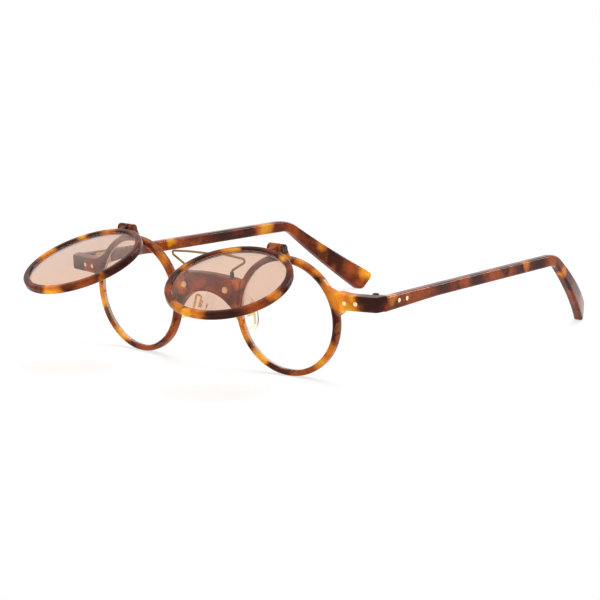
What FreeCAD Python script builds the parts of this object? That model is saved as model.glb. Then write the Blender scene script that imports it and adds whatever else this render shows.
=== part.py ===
import FreeCAD, Part
import math
import os

import Sketcher

# Round spectacles with two sun lenses that flip up, one on each rim.
# The front is drawn in its own frame: X to the wearer's left, Y backwards, Z up in the plane of the
# front, origin midway between the eye centres on the front face. The temples are level and the front
# leans over them by the pantoscopic angle. The finished pieces stand on the floor, on the rims and tips.

V = FreeCAD.Vector
Rotation = FreeCAD.Rotation
Placement = FreeCAD.Placement
X_AXIS = V(1, 0, 0)
Y_AXIS = V(0, 1, 0)
Z_AXIS = V(0, 0, 1)
ORIGIN = V(0, 0, 0)

doc = FreeCAD.newDocument("flip_up_spectacles")
sheet = doc.addObject("Spreadsheet::Sheet", "sizes")

SIZES = [
    # The whole front
    ("bridge_span", 26.5, "between the two rims"),
    ("end_reach", 14.6, "end piece beyond the rim"),
    ("wrap_angle", 5.2, "each rim turned outwards, degrees"),
    ("pantoscopic_angle", 4.7, "the front leaning over the temples, degrees"),
    ("seat_play", 0.03, "between a piece and the seat cut for it"),
    ("overrun", 6.0, "cutters past the faces they cut"),
    # Rims and clear lenses
    ("rim_radius", 20.6, "outside of a rim"),
    ("rim_wall", 2.1, "radial width of a rim"),
    ("rim_depth", 3.4, "front to back of a rim"),
    ("rim_round", 1.1, "outer edges of a rim"),
    ("opening_round", 0.5, "edges of the opening in every ring"),
    ("groove_depth", 0.6, "lens groove in every ring"),
    ("groove_half", 0.6, "half the mouth of a lens groove"),
    ("lens_play", 0.08, "between a lens's bevel and its groove"),
    ("land_play", 0.12, "between a lens and the ring's opening"),
    ("lens_thickness", 1.8, "clear lens"),
    ("lens_curve", 95.0, "radius of both faces of the clear lens"),
    # Bridge
    ("bridge_top", 11.3, "top edge in the middle, above the eye centres"),
    ("bridge_top_radius", 95.0, "crown of the top edge"),
    ("bridge_arch_top", 5.0, "top of the nose arch, above the eye centres"),
    ("bridge_arch_foot", -4.6, "where the nose arch runs into the rims"),
    ("bridge_proud", 0.15, "bridge in front of the rims' inner edges"),
    ("bridge_depth", 4.2, "front to back of the bridge"),
    ("bridge_round", 0.9, "edges of the bridge"),
    ("bridge_rivet_inset", 3.95, "bridge rivet from the rim"),
    ("bridge_rivet_drop", 4.7, "bridge rivet below the top edge"),
    ("bridge_rivet_radius", 1.15, "head of a bridge rivet"),
    ("bridge_rivet_dome", 0.9, "bridge rivet head above the bridge"),
    # End pieces
    ("end_top", 9.5, "top edge above the eye centres"),
    ("end_height", 5.2, "top to bottom of an end piece"),
    ("end_flare_top", 16.0, "sweep from the rim into the top edge"),
    ("end_flare_bottom", 4.2, "sweep from the rim into the bottom edge"),
    ("end_bite", 0.8, "both sweeps run into the rim"),
    ("end_sweep_angle", 10.8, "end piece swept back, degrees"),
    ("end_depth", 4.1, "front to back of an end piece"),
    ("end_corner", 1.6, "outer front corner"),
    ("end_round", 0.7, "front edges"),
    ("end_rivet_inset", 2.9, "inner rivet from the rim"),
    ("end_rivet_spacing", 4.1, "between the end piece's rivets"),
    ("rivet_radius", 0.75, "all rivets"),
    ("rivet_dome", 0.22, "rivet head above its face"),
    ("rivet_short", 0.1, "rivet's end inside the hinge leaf it holds"),
    # Temple hinges
    ("joint_gap", 0.15, "between end piece and temple"),
    ("barrel_radius", 1.35, "temple hinge barrel"),
    ("barrel_gap", 0.4, "between barrel and end piece"),
    ("barrel_set", 1.25, "between barrel and temple"),
    ("knuckle_gap", 0.06, "between neighbouring knuckles"),
    ("leaf_margin", 0.25, "hinge leaf inside the temple's edges"),
    ("leaf_thickness", 0.9, "hinge leaves"),
    ("front_leaf_inset", 0.95, "plate on the end piece, from the rim"),
    ("temple_leaf_length", 10.6, "plate on the temple"),
    ("leaf_neck", 1.7, "hinge leaf where it meets its barrel"),
    ("screw_radius", 0.6, "temple hinge screw"),
    ("screw_head_radius", 1.05, "temple hinge screw head"),
    ("screw_head", 0.55, "height of that head"),
    ("screw_play", 0.04, "screw in the moving knuckles"),
    # Temples
    ("temple_step", 0.28, "top edge below the end piece's"),
    ("temple_length", 108.4, "joint to bend"),
    ("temple_height", 5.1, "at the joint"),
    ("temple_shoulder", 30.0, "joint to where the height has come down"),
    ("temple_shoulder_round", 60.0, "underside where it has come down"),
    ("temple_waist", 4.1, "height at the bend"),
    ("temple_thickness", 3.5, "outside to inside"),
    ("temple_outset", 1.3, "outer face outside the end piece"),
    ("temple_toe_angle", 3.1, "temples closing towards the ears, degrees"),
    ("tip_length", 44.2, "bend to end"),
    ("tip_width", 8.2, "at the end"),
    ("tip_corner", 2.3, "corners of the end"),
    ("tip_curve", 109.0, "tips curving inwards"),
    ("bend_outer", 16.0, "top of the bend"),
    ("bend_inner", 9.0, "underside of the bend"),
    ("temple_round", 0.9, "long edges"),
    ("temple_rivet_inset", 6.9, "front rivet behind the joint"),
    ("temple_rivet_spacing", 4.6, "between the temple's rivets"),
    ("temple_rivet_drop", 2.1, "rivets below the top edge"),
    # Flip-up rings and sun lenses
    ("flip_overhang", 0.7, "flip-up ring larger than the rim, in radius"),
    ("flip_wall", 2.3, "radial width of a flip-up ring"),
    ("flip_depth", 2.8, "front to back of a flip-up ring"),
    ("flip_round", 0.9, "edges of a flip-up ring"),
    ("flip_gap", 1.8, "between closed ring and rim"),
    ("flip_drop", 0.6, "closed ring below the eye centre"),
    ("flip_inset", 1.0, "closed ring nearer the nose than the rim"),
    ("flip_open_angle", 73.0, "how far the rings stand open, degrees"),
    ("sun_thickness", 1.5, "sun lens"),
    ("sun_curve", 130.0, "radius of both faces of the sun lens"),
    # Flip-up hinges
    ("flip_axis_rise", 3.4, "hinge axis above the closed ring"),
    ("flip_axis_set", 0.7, "hinge axis behind the ring's middle"),
    ("lug_radius", 1.65, "flip-up hinge knuckles"),
    ("tongue_width", 2.5, "the ring's knuckle, between the rim's two"),
    ("lug_width", 2.0, "each of the rim's knuckles"),
    ("lug_gap", 0.1, "between neighbouring knuckles"),
    ("lug_round", 0.4, "edges of the knuckles' ends"),
    ("lug_stem_share", 0.88, "a knuckle's stem inside its barrel, as a share of the barrel's radius"),
    ("lug_clear", 0.6, "rim's lugs behind the closed ring"),
    ("pin_radius", 0.65, "flip-up hinge screw"),
    ("pin_head_radius", 1.15, "its head"),
    ("pin_head", 0.6, "depth of its head"),
    ("pin_play", 0.04, "screw in the ring's knuckle"),
    ("slot_width_share", 0.3, "driver slot of every screw, as a share of its head's radius"),
    ("slot_depth_share", 0.5, "depth of the slot, as a share of its head's"),
    # Brow wire
    ("wire_radius", 0.4, "brow wire"),
    ("wire_foot_inset", 2.85, "foot from the rim"),
    ("wire_set", 2.9, "behind the bridge's front"),
    ("wire_foot_depth", 2.0, "foot set into the bridge"),
    ("wire_stand", 2.05, "upright part above the bridge"),
    ("wire_corner_out", 7.8, "top corner outside the foot"),
    ("wire_corner_rise", 6.4, "top corner above the bridge"),
    ("wire_crown", 0.9, "crossbar arched above its corners"),
    ("wire_foot_bend", 1.2, "bend above a foot"),
    ("wire_corner_bend", 0.8, "bend at a top corner"),
    ("ferrule_radius", 0.7, "sleeve round a foot"),
    ("ferrule_height", 1.5, "sleeve above the bridge"),
    ("ferrule_seat", 0.25, "sleeve let into the bridge"),
    # Nose pads
    ("pad_height", 13.4, "nose pad"),
    ("pad_width", 7.6, "nose pad"),
    ("pad_thickness", 2.4, "nose pad"),
    ("pad_dome_share", 0.65, "domed part of the pad's thickness, as a share of it"),
    ("pad_inset", 3.2, "middle of the pad's back from the rim"),
    ("pad_set", 9.4, "middle of the pad behind the front"),
    ("pad_drop", 3.6, "middle of the pad below the eye centres"),
    ("pad_frontal_angle", 18.0, "pads spreading downwards, degrees"),
    ("pad_splay_angle", 14.0, "pads spreading backwards, degrees"),
    ("boss_width", 1.1, "tongue on the pad"),
    ("boss_height", 2.2, "tongue on the pad"),
    ("boss_reach", 1.7, "tongue on the pad"),
    ("box_wall", 0.5, "pad box"),
    ("box_clear", 0.2, "pad box round the tongue"),
    ("box_lift", 0.4, "pad box off the pad"),
    ("pad_screw_radius", 0.35, "pad screw"),
    ("pad_screw_head_radius", 0.6, "pad screw head"),
    ("pad_screw_head", 0.3, "pad screw head"),
    ("pad_screw_play", 0.03, "pad screw in the tongue"),
    ("arm_radius", 0.42, "pad arm wire"),
    ("arm_bend", 0.75, "bends of the pad arm"),
    ("arm_foot_angle", 20.0, "its foot on the rim, below the eye centre, degrees"),
    ("arm_peg", 1.0, "foot let into the rim"),
    ("arm_back", 5.6, "straight behind the rim"),
    ("arm_rise", 2.9, "top of its loop above the middle of the pad box"),
    ("arm_loop", 0.5, "straight part on top of the loop"),
]
for row, (alias, number, meaning) in enumerate(SIZES, 1):
    sheet.set("A%d" % row, alias)
    sheet.set("B%d" % row, str(number))
    sheet.set("C%d" % row, meaning)
    sheet.setAlias("B%d" % row, alias)
doc.recompute()


# Small helpers


def value(expression):
    return float(sheet.evalExpression(expression))


def sine(angle):
    return math.sin(math.radians(angle))


def cosine(angle):
    return math.cos(math.radians(angle))


def placed(shape, placement):
    copy = shape.copy()
    copy.Placement = placement.multiply(copy.Placement)
    return copy


def both_sides(shape):
    return [shape, shape.mirror(ORIGIN, X_AXIS)]


def flat(points):
    """Points of the XY plane from pairs of coordinates."""
    return [V(x, y, 0) for x, y in points]


def rounded(points, radii, closed=True):
    """The edges of a line through points, each corner an arc of its radius."""
    count = len(points)
    starts, arcs, ends = [], [], []
    for i, corner in enumerate(points):
        radius = radii[i]
        if not radius:
            starts.append(corner)
            arcs.append(None)
            ends.append(corner)
            continue
        before = (points[i - 1] - corner).normalize()
        after = (points[(i + 1) % count] - corner).normalize()
        half = before.getAngle(after) / 2
        reach = radius / math.tan(half)
        middle = corner + (before + after).normalize() * (radius / math.sin(half) - radius)
        starts.append(corner + before * reach)
        ends.append(corner + after * reach)
        arcs.append(Part.Arc(starts[i], middle, ends[i]).toShape())
    edges = []
    for i in range(count):
        if arcs[i]:
            edges.append(arcs[i])
        following = (i + 1) % count
        if closed or following:
            edges.append(Part.makeLine(ends[i], starts[following]))
    return edges


def polygon(points):
    """The edges of a closed line with sharp corners."""
    return rounded(points, [0] * len(points))


def prism(edges, frame, low, high):
    """A solid from a closed outline drawn in a frame's XY plane, between two heights on its Z axis."""
    face = Part.Face(Part.Wire(edges))
    face.translate(V(0, 0, low))
    return placed(face.extrude(V(0, 0, high - low)), frame)


def ring(edges, frame):
    """A solid turned about a frame's Y axis from a closed outline of (radius, depth)."""
    face = Part.Face(Part.Wire(edges))
    return placed(face.revolve(ORIGIN, Y_AXIS, 360), frame)


def rod(start, end, radius):
    return Part.makeCylinder(radius, (end - start).Length, start, end - start)


def hole(start, end, radius, play):
    return rod(start, end, radius + play)


def feature(name, shape):
    part = doc.addObject("Part::Feature", name)
    part.Shape = shape
    return part


def bound(kind, name, **expressions):
    """A document object whose properties follow sheet expressions."""
    thing = doc.addObject(kind, name)
    for property_name, expression in expressions.items():
        thing.setExpression(property_name.replace("_", "."), expression)
    return thing


def joined(kind, name, base, tool):
    """A boolean of two document objects."""
    result = doc.addObject(kind, name)
    result.Base = base
    result.Tool = tool
    return result


def dome(start, end):
    """The arc between two points of a turned outline whose centre lies on the axis, and its direction."""
    middle = (end.Length**2 - start.Length**2) / (end.y - start.y) / 2
    centre = V(0, middle, 0)
    first = math.atan2(start.y - middle, start.x)
    last = math.atan2(end.y - middle, end.x)
    circle = Part.Circle(centre, Z_AXIS, start.distanceToPoint(centre))
    if last > first:
        return Part.ArcOfCircle(circle, first, last), (1, 2)
    return Part.ArcOfCircle(circle, last, first), (2, 1)


def draw_outline(sketch, outline, domes):
    """A closed line through points given as sheet expressions; the edges in domes are arcs about the axis."""
    points = flat([(value(x), value(y)) for x, y in outline])
    count = len(points)
    ends = []
    for i, start in enumerate(points):
        end = points[(i + 1) % count]
        curve, order = dome(start, end) if i in domes else (Part.LineSegment(start, end), (1, 2))
        sketch.addGeometry(curve)
        ends.append(order)
        if i in domes:
            sketch.addConstraint(Sketcher.Constraint("PointOnObject", i, 3, -2))
    for i, (x, y) in enumerate(outline):
        following = (i + 1) % count
        first = ends[i][0]
        sketch.addConstraint(Sketcher.Constraint("Coincident", i, ends[i][1], following, ends[following][0]))
        across = ("DistanceX", -2, x, points[i].x)
        upwards = ("DistanceY", -1, y, points[i].y)
        for kind, axis, expression, number in (across, upwards):
            if expression == "0":
                sketch.addConstraint(Sketcher.Constraint("PointOnObject", i, first, axis))
            else:
                index = sketch.addConstraint(Sketcher.Constraint(kind, i, first, number))
                sketch.setExpression("Constraints[%d]" % index, expression)


def turned(name, outline, domes=()):
    """A body turned about its own Z axis from a closed outline of (radius, height) expressions."""
    body = doc.addObject("PartDesign::Body", name)
    sketch = body.newObject("Sketcher::SketchObject", name + "_outline")
    plane = next(f for f in body.Origin.OriginFeatures if f.Role == "XZ_Plane")
    sketch.AttachmentSupport = [(plane, "")]
    sketch.MapMode = "FlatFace"
    draw_outline(sketch, outline, domes)
    turn = body.newObject("PartDesign::Revolution", name + "_turn")
    turn.Profile = sketch
    turn.ReferenceAxis = (sketch, ["V_Axis"])
    turn.Angle = 360
    return body


# Frames


z = sheet
eye_x = z.bridge_span / 2 + z.rim_radius
rim_opening = z.rim_radius - z.rim_wall
flare_root = z.rim_radius - z.end_bite
FRONT_VIEW = Placement(ORIGIN, Rotation(X_AXIS, 90))
SIDE_VIEW = Placement(ORIGIN, Rotation(V(1, 1, 1), 120))
PLAN_VIEW = Placement()
TURN_BACK = Rotation(X_AXIS, -90)
EYE = Placement(V(eye_x, 0, 0), Rotation(Z_AXIS, z.wrap_angle))
LEAN = Placement(ORIGIN, Rotation(X_AXIS, z.pantoscopic_angle))
LEVEL = LEAN.inverse()

# The bridge's front face and the places on it
bridge_front = -z.rim_radius * sine(z.wrap_angle) - z.bridge_proud
bridge_back = bridge_front + z.bridge_depth
bridge_rivet_x = z.bridge_span / 2 - z.bridge_rivet_inset
rivet_point = V(bridge_rivet_x, bridge_front, z.bridge_top - z.bridge_rivet_drop)
wire_foot_x = z.bridge_span / 2 - z.wire_foot_inset


def bridge_crown(x):
    """Height of the bridge's arched top edge at a distance from the middle."""
    return z.bridge_top - z.bridge_top_radius + math.sqrt(z.bridge_top_radius**2 - x**2)


wire_foot = V(wire_foot_x, bridge_front + z.wire_set, bridge_crown(wire_foot_x))

# The end piece leaves the rim at its outer edge and is swept back from there
root_x = eye_x + z.rim_radius * cosine(z.wrap_angle)
root_y = z.rim_radius * sine(z.wrap_angle)
END = Placement(V(root_x, root_y, 0), Rotation(Z_AXIS, z.end_sweep_angle))
end_length = z.end_reach / cosine(z.end_sweep_angle)
end_bottom = z.end_top - z.end_height
half_width = root_x + z.end_reach
end_back_top = LEAN.multVec(END.multVec(V(end_length, z.end_depth, z.end_top)))
end_back_middle = LEAN.multVec(END.multVec(V(end_length, z.end_depth, z.end_top - z.end_height / 2)))

# Flip-up hinge axis, along X over the middle of each rim
flip_radius = z.rim_radius + z.flip_overhang
ring_y = -(z.flip_gap + z.flip_depth / 2) * cosine(z.wrap_angle)
axis_y = ring_y + z.flip_axis_set
axis_z = flip_radius + z.flip_axis_rise - z.flip_drop
CLOSED_RING = Placement(V(eye_x - z.flip_inset, ring_y, -z.flip_drop), Rotation(Z_AXIS, z.wrap_angle))
HINGE_VIEW = Placement(V(eye_x, 0, 0), SIDE_VIEW.Rotation)
tongue_half = z.tongue_width / 2
fork_half = tongue_half + z.lug_gap + z.lug_width


def on_axis(along):
    """A point of the left flip-up hinge axis, measured outwards from the middle of the rim."""
    return V(eye_x + along, axis_y, axis_z)


# The temple's outer face and its hinge, vertical, in the level frame
joint_line = end_back_middle.y
temple_front = joint_line + z.joint_gap
temple_outer = half_width + z.temple_outset
temple_top = end_back_top.z - z.temple_step
TOE = Placement(V(temple_outer, temple_front, 0), Rotation(Z_AXIS, z.temple_toe_angle))
KNUCKLES = 5
barrel_height = z.temple_height - z.leaf_margin * 2
hinge_low = temple_top - z.temple_height + z.leaf_margin
barrel_x = temple_outer - z.temple_thickness - z.barrel_set - z.barrel_radius
barrel_y = joint_line + z.barrel_gap + z.barrel_radius


# Front


def ring_outline(opening, radius, front, back, edge_round):
    """Section of a ring with rounded edges and a lens groove in the middle of its inner wall."""
    middle = (front + back) / 2
    groove = [(opening, middle + z.groove_half), (opening + z.groove_depth, middle),
              (opening, middle - z.groove_half)]
    points = [(opening, front), (radius, front), (radius, back), (opening, back)] + groove
    radii = [z.opening_round, edge_round, edge_round, z.opening_round, 0, 0, 0]
    return rounded(flat(points), radii)


def rim_solid():
    return ring(ring_outline(rim_opening, z.rim_radius, 0, z.rim_depth, z.rim_round), EYE)


def rim_core():
    """What the bridge, end pieces and lugs keep out of: the rim's inside, to the middle of its wall."""
    radius = z.rim_radius - z.rim_wall / 2
    front, back = -z.overrun, z.rim_depth + z.overrun
    return ring(polygon(flat([(0, front), (radius, front), (radius, back), (0, back)])), EYE)


def bridge_solid():
    """A saddle with an arched top edge over the nose arch, running into the walls of both rims."""
    side = z.bridge_span / 2 + z.rim_wall
    foot = z.bridge_span / 2 + z.rim_wall / 2
    shoulder = bridge_crown(side)
    right, left = flat([(side, z.bridge_arch_foot), (-side, z.bridge_arch_foot)])
    right_foot, left_foot = flat([(foot, z.bridge_arch_foot), (-foot, z.bridge_arch_foot)])
    right_top, left_top = flat([(side, shoulder), (-side, shoulder)])
    top = Part.Arc(left_top, V(0, z.bridge_top, 0), right_top).toShape()
    arch = Part.Arc(right_foot, V(0, z.bridge_arch_top, 0), left_foot).toShape()
    edges = [top, Part.makeLine(right_top, right), Part.makeLine(right, right_foot), arch,
             Part.makeLine(left_foot, left), Part.makeLine(left, left_top)]
    solid = prism(edges, FRONT_VIEW, -bridge_back, -bridge_front)
    curved = [edge for edge in solid.Edges if edge.Curve.TypeId == "Part::GeomCircle"]
    return solid.makeFillet(z.bridge_round, curved)


def flare(centre, flare_radius, corner):
    """Where a sweep starts inside the rim's edge, and the arc from there to the straight edge's corner."""
    eye = V(eye_x, 0, 0)
    in_rim = eye + (centre - eye).normalize() * flare_root
    middle = centre + ((in_rim - centre) + (corner - centre)).normalize() * flare_radius
    return in_rim, Part.Arc(in_rim, middle, corner).toShape()


def end_outline():
    """The end piece from the front: both edges sweep out of the rim and run straight past the end."""
    top_z = z.end_top + z.end_flare_top
    low_z = end_bottom - z.end_flare_bottom
    top_x = eye_x + math.sqrt((flare_root + z.end_flare_top)**2 - top_z**2)
    low_x = eye_x + math.sqrt((flare_root + z.end_flare_bottom)**2 - low_z**2)
    far = half_width + z.overrun
    top_corner, low_corner = flat([(top_x, z.end_top), (low_x, end_bottom)])
    top_far, low_far = flat([(far, z.end_top), (far, end_bottom)])
    top_rim, top_arc = flare(V(top_x, top_z, 0), z.end_flare_top, top_corner)
    low_rim, low_arc = flare(V(low_x, low_z, 0), z.end_flare_bottom, low_corner)
    inside = V(eye_x + rim_opening, end_bottom, 0)
    return [top_arc, Part.makeLine(top_corner, top_far), Part.makeLine(top_far, low_far),
            Part.makeLine(low_far, low_corner), low_arc,
            Part.makeLine(low_rim, inside), Part.makeLine(inside, top_rim)]


def is_end_front_edge(edge):
    """Whether an edge of the end piece runs along the top or bottom of its swept front face."""
    ends = [END.inverse().multVec(vertex.Point) for vertex in edge.Vertexes]
    middle = END.inverse().multVec(edge.CenterOfMass)
    upright = abs(ends[0].z - ends[-1].z) > z.end_height - z.end_round
    from_eye = edge.CenterOfMass - V(eye_x, 0, 0)
    outside = math.hypot(from_eye.x, from_eye.z) > z.rim_radius
    return outside and not upright and middle.y < z.end_corner


def end_solid():
    """The end piece: front outline and swept-back plan, its side widening to the temple's outer face."""
    back = root_y + end_length + z.end_depth
    outline = prism(end_outline(), FRONT_VIEW, -back, back)
    joint = END.inverse().multVec(LEVEL.multVec(V(temple_outer, joint_line, end_back_middle.z)))
    corner_out = end_length + (joint.x - end_length) * z.end_depth / joint.y
    root_depth = z.rim_depth - z.rim_round
    plan = [(-z.rim_radius, 0), (end_length, 0), (corner_out, z.end_depth), (z.front_leaf_inset, z.end_depth),
            (0, root_depth), (-z.rim_radius, root_depth)]
    swept = prism(rounded(flat(plan), [0, z.end_corner, 0, 0, 0, 0]), END, -z.rim_radius, z.rim_radius)
    solid = outline.common(swept)
    solid = solid.makeFillet(z.end_round, [edge for edge in solid.Edges if is_end_front_edge(edge)])
    reach = temple_outer + z.overrun
    behind_rim = Part.makeBox(reach * 2, back, reach * 2, V(-reach, 0, -reach))
    behind_joint = placed(behind_rim, Placement(V(0, joint_line, 0), Rotation()))
    return solid.common(placed(behind_rim, EYE)).cut(placed(behind_joint, LEVEL))


def round_ended(solid):
    """A solid with the edges of both its ends along X rounded."""
    edges = [edge for edge in solid.Edges if edge.BoundBox.XLength < solid.BoundBox.XLength / 2]
    return solid.makeFillet(z.lug_round, edges)


def knuckle_on(web, low, high):
    """A web seen from the side with a barrel on the flip-up hinge axis, both with rounded ends."""
    stem = prism(polygon(flat(web)), HINGE_VIEW, low, high)
    barrel = rod(on_axis(low), on_axis(high), z.lug_radius)
    return round_ended(stem).fuse(round_ended(barrel))


def lugs_on_rim():
    """The rim's two knuckles, their webs standing up in front of the rim, behind the closed ring."""
    front = z.lug_clear - z.flip_gap
    middle = z.rim_depth / 2
    seat = z.rim_radius - z.rim_wall / 2
    ring_top = flip_radius - z.flip_drop
    inside = z.lug_radius * z.lug_stem_share
    web = [(middle, seat), (front, seat), (front, ring_top + z.lug_clear),
           (axis_y, axis_z - inside), (axis_y + inside, axis_z), (z.rim_round / 2, z.rim_radius)]
    near = tongue_half + z.lug_gap
    return knuckle_on(web, near, fork_half).fuse(knuckle_on(web, -fork_half, -near))


def end_rivet_place(index):
    """Where a rivet of the end piece meets its front face, with its axis backwards."""
    along = z.end_rivet_inset + index * z.end_rivet_spacing
    point = END.multVec(V(along, 0, z.end_top - z.end_height / 2))
    return Placement(point, END.Rotation.multiply(TURN_BACK))


def rivet_hole(place):
    axis = place.Rotation.multVec(Z_AXIS)
    return hole(place.Base - axis * z.overrun, place.Base + axis * z.overrun, z.rivet_radius, z.seat_play)


def front_solid(cutters):
    core = both_sides(rim_core())
    solid = bridge_solid().cut(core)
    for half in (rim_solid(), end_solid().cut(core[0]), lugs_on_rim().cut(core[0])):
        solid = solid.fuse(both_sides(half))
    for cutter in cutters:
        solid = solid.cut(both_sides(cutter))
    return solid.removeSplitter()


# Temple hinges, in the level frame


def end_back(x):
    """The swept back face of the end piece at a distance from the middle, at hinge height."""
    along = (x - root_x) / cosine(z.end_sweep_angle)
    corner = V(0, z.end_depth / cosine(z.end_sweep_angle), 0)
    point = END.multVec(V(along, 0, end_back_middle.z)) + corner
    return min(LEAN.multVec(point).y, joint_line)


def leaf_solid(plan, own, cutters):
    """A hinge leaf: plate, neck and barrel, slotted for the other leaf's knuckles, bored for the screw."""
    axis = V(barrel_x, barrel_y, hinge_low)
    solid = prism(polygon(flat(plan)), PLAN_VIEW, hinge_low, hinge_low + barrel_height)
    solid = solid.fuse(Part.makeCylinder(z.barrel_radius, barrel_height, axis))
    knuckle = barrel_height / KNUCKLES
    slot_radius = z.barrel_radius + z.barrel_gap / 2
    for index in range(KNUCKLES):
        if index % 2 != own:
            bottom = index * knuckle - z.knuckle_gap / 2
            slot_height = knuckle + z.knuckle_gap
            solid = solid.cut(Part.makeCylinder(slot_radius, slot_height, axis + V(0, 0, bottom)))
    above = axis + V(0, 0, barrel_height + z.overrun)
    bore = hole(axis - V(0, 0, z.overrun), above, z.screw_radius, z.screw_play)
    return solid.cut([bore] + cutters).removeSplitter()


def leaf_seat(plan):
    """The recess that a leaf's plate lies in."""
    plate = prism(polygon(flat(plan)), PLAN_VIEW, hinge_low, hinge_low + barrel_height)
    return plate.makeOffsetShape(z.seat_play, Part.Precision.confusion(), join=2)


def front_leaf_plan():
    outer = barrel_x - z.barrel_radius / 2
    inner = root_x + z.front_leaf_inset
    half_neck = z.leaf_neck / 2
    return [(inner, end_back(inner) - z.leaf_thickness),
            (outer + z.leaf_neck, end_back(outer) - z.leaf_thickness),
            (barrel_x + half_neck, barrel_y), (barrel_x - half_neck, barrel_y),
            (outer - half_neck, end_back(outer)), (inner, end_back(inner))]


def temple_leaf_plan():
    front = barrel_y - temple_front + z.barrel_radius
    face = -z.temple_thickness
    half_neck = z.leaf_neck / 2
    plate = [(face, front), (face + z.leaf_thickness, front),
             (face + z.leaf_thickness, front + z.temple_leaf_length), (face, front + z.temple_leaf_length),
             (face, front + z.leaf_neck)]
    points = [TOE.multVec(point) for point in flat(plate)]
    return [(point.x, point.y) for point in points] + [
        (barrel_x - half_neck, barrel_y + half_neck), (barrel_x + half_neck, barrel_y - half_neck / 2)]


# Temples, in the level frame


def temple_outline(slope):
    """The temple from the side: level to the bend, then down at a slope, widening into the tip."""
    along = V(math.cos(slope), -math.sin(slope), 0)
    half_tip = V(math.sin(slope), math.cos(slope), 0) * (z.tip_width / 2)
    waist = temple_top - z.temple_waist
    bend = temple_front + z.temple_length
    end = V(bend, temple_top - z.temple_waist / 2, 0) + along * z.tip_length
    points = flat([(temple_front, temple_top), (bend, temple_top)]) + [end + half_tip, end - half_tip]
    points += flat([(bend, waist), (temple_front + z.temple_shoulder, waist),
                    (temple_front, temple_top - z.temple_height)])
    radii = [0, z.bend_outer, z.tip_corner, z.tip_corner, z.bend_inner, z.temple_shoulder_round, 0]
    return rounded(points, radii)


def tip_slope(floor):
    """The slope at which the tip's rounded end just comes down to the floor that the rims stand on."""
    flatter, steeper = 0, math.pi / 2
    while steeper - flatter > Part.Precision.angular():
        slope = (flatter + steeper) / 2
        if min(edge.BoundBox.YMin for edge in temple_outline(slope)) > floor:
            flatter = slope
        else:
            steeper = slope
    return slope


def temple_plan():
    """The temple from above in the frame of its outer face: straight, then curving inwards."""
    straight = z.temple_length - z.bend_outer / 2
    middle = V(-z.tip_curve, straight, 0)
    turn = (z.tip_length + z.bend_outer + z.overrun) / z.tip_curve
    inner = z.tip_curve - z.temple_thickness

    def on_curve(radius, angle):
        return middle + V(math.cos(angle), math.sin(angle), 0) * radius

    def arc(radius):
        return Part.Arc(on_curve(radius, 0), on_curve(radius, turn / 2), on_curve(radius, turn)).toShape()

    outer_front, inner_front = flat([(0, -z.overrun), (-z.temple_thickness, -z.overrun)])
    return [Part.makeLine(outer_front, on_curve(z.tip_curve, 0)), arc(z.tip_curve),
            Part.makeLine(on_curve(z.tip_curve, turn), on_curve(inner, turn)), arc(inner),
            Part.makeLine(on_curve(inner, 0), inner_front), Part.makeLine(inner_front, outer_front)]


def inwards(point):
    """How far a point lies inside the temple's outer face."""
    local = TOE.inverse().multVec(point)
    past = local.y - z.temple_length + z.bend_outer / 2
    if past < 0:
        return -local.x
    return z.tip_curve - math.hypot(local.x + z.tip_curve, past)


def is_long_edge(edge):
    """Whether an edge runs along the temple or round its end, on its outer or inner face."""
    points = [vertex.Point for vertex in edge.Vertexes]
    at_joint = all(point.y < temple_front + z.temple_round for point in points)
    points.append(edge.valueAt((edge.FirstParameter + edge.LastParameter) / 2))
    depths = [inwards(point) for point in points]
    return not at_joint and max(depths) - min(depths) < z.temple_thickness / 2


def temple_solid(floor, cutters):
    """The side outline and the plan together, with rounded long edges."""
    side = prism(Part.__sortEdges__(temple_outline(tip_slope(floor))), SIDE_VIEW, 0, temple_outer + z.overrun)
    plan = prism(Part.__sortEdges__(temple_plan()), TOE, floor - z.overrun, temple_top + z.overrun)
    solid = side.common(plan)
    solid = solid.makeFillet(z.temple_round, [edge for edge in solid.Edges if is_long_edge(edge)])
    return solid.cut(cutters).removeSplitter()


def temple_rivet_place(index):
    """Where a rivet of the temple meets its outer face, with its axis inwards."""
    along = z.temple_rivet_inset + index * z.temple_rivet_spacing
    point = TOE.multVec(V(0, along, temple_top - z.temple_rivet_drop))
    return Placement(point, TOE.Rotation.multiply(Rotation(Y_AXIS, -90)))


# Flip-up rings


def flip_solid():
    """A ring with a tongue on its top, bored for the hinge screw."""
    half = z.flip_depth / 2
    solid = ring(ring_outline(flip_radius - z.flip_wall, flip_radius, -half, half, z.flip_round), CLOSED_RING)
    seat = flip_radius - z.flip_wall / 2 - z.flip_drop
    flank = half - z.flip_round / 2
    inside = z.lug_radius * z.lug_stem_share
    web = [(ring_y - flank, seat), (axis_y - inside, axis_z), (axis_y + inside, axis_z),
           (ring_y + flank, seat)]
    solid = solid.fuse(knuckle_on(web, -tongue_half, tongue_half))
    bore = hole(on_axis(-fork_half), on_axis(fork_half), z.pin_radius, z.pin_play)
    return solid.cut(bore).removeSplitter()


# Lenses, rivets and screws


def lens(name, opening, thickness, curve):
    """A meniscus about its own Z axis, with a bevelled edge."""
    edge = "(%s + sizes.groove_depth - sizes.lens_play)" % opening
    land = "(%s - sizes.land_play)" % opening
    bevel = "(sizes.groove_half - sizes.lens_play)"
    sag = "(%s - sqrt(%s ^ 2 - %s ^ 2))" % (curve, curve, land)
    half = "(%s / 2)" % thickness
    outline = [("0", "-%s - %s" % (half, sag)), (land, "-" + half), (land, "-" + bevel), (edge, "0"),
               (land, bevel), (land, half), ("0", "%s - %s" % (half, sag))]
    return turned(name, outline, domes=(0, 5))


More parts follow.
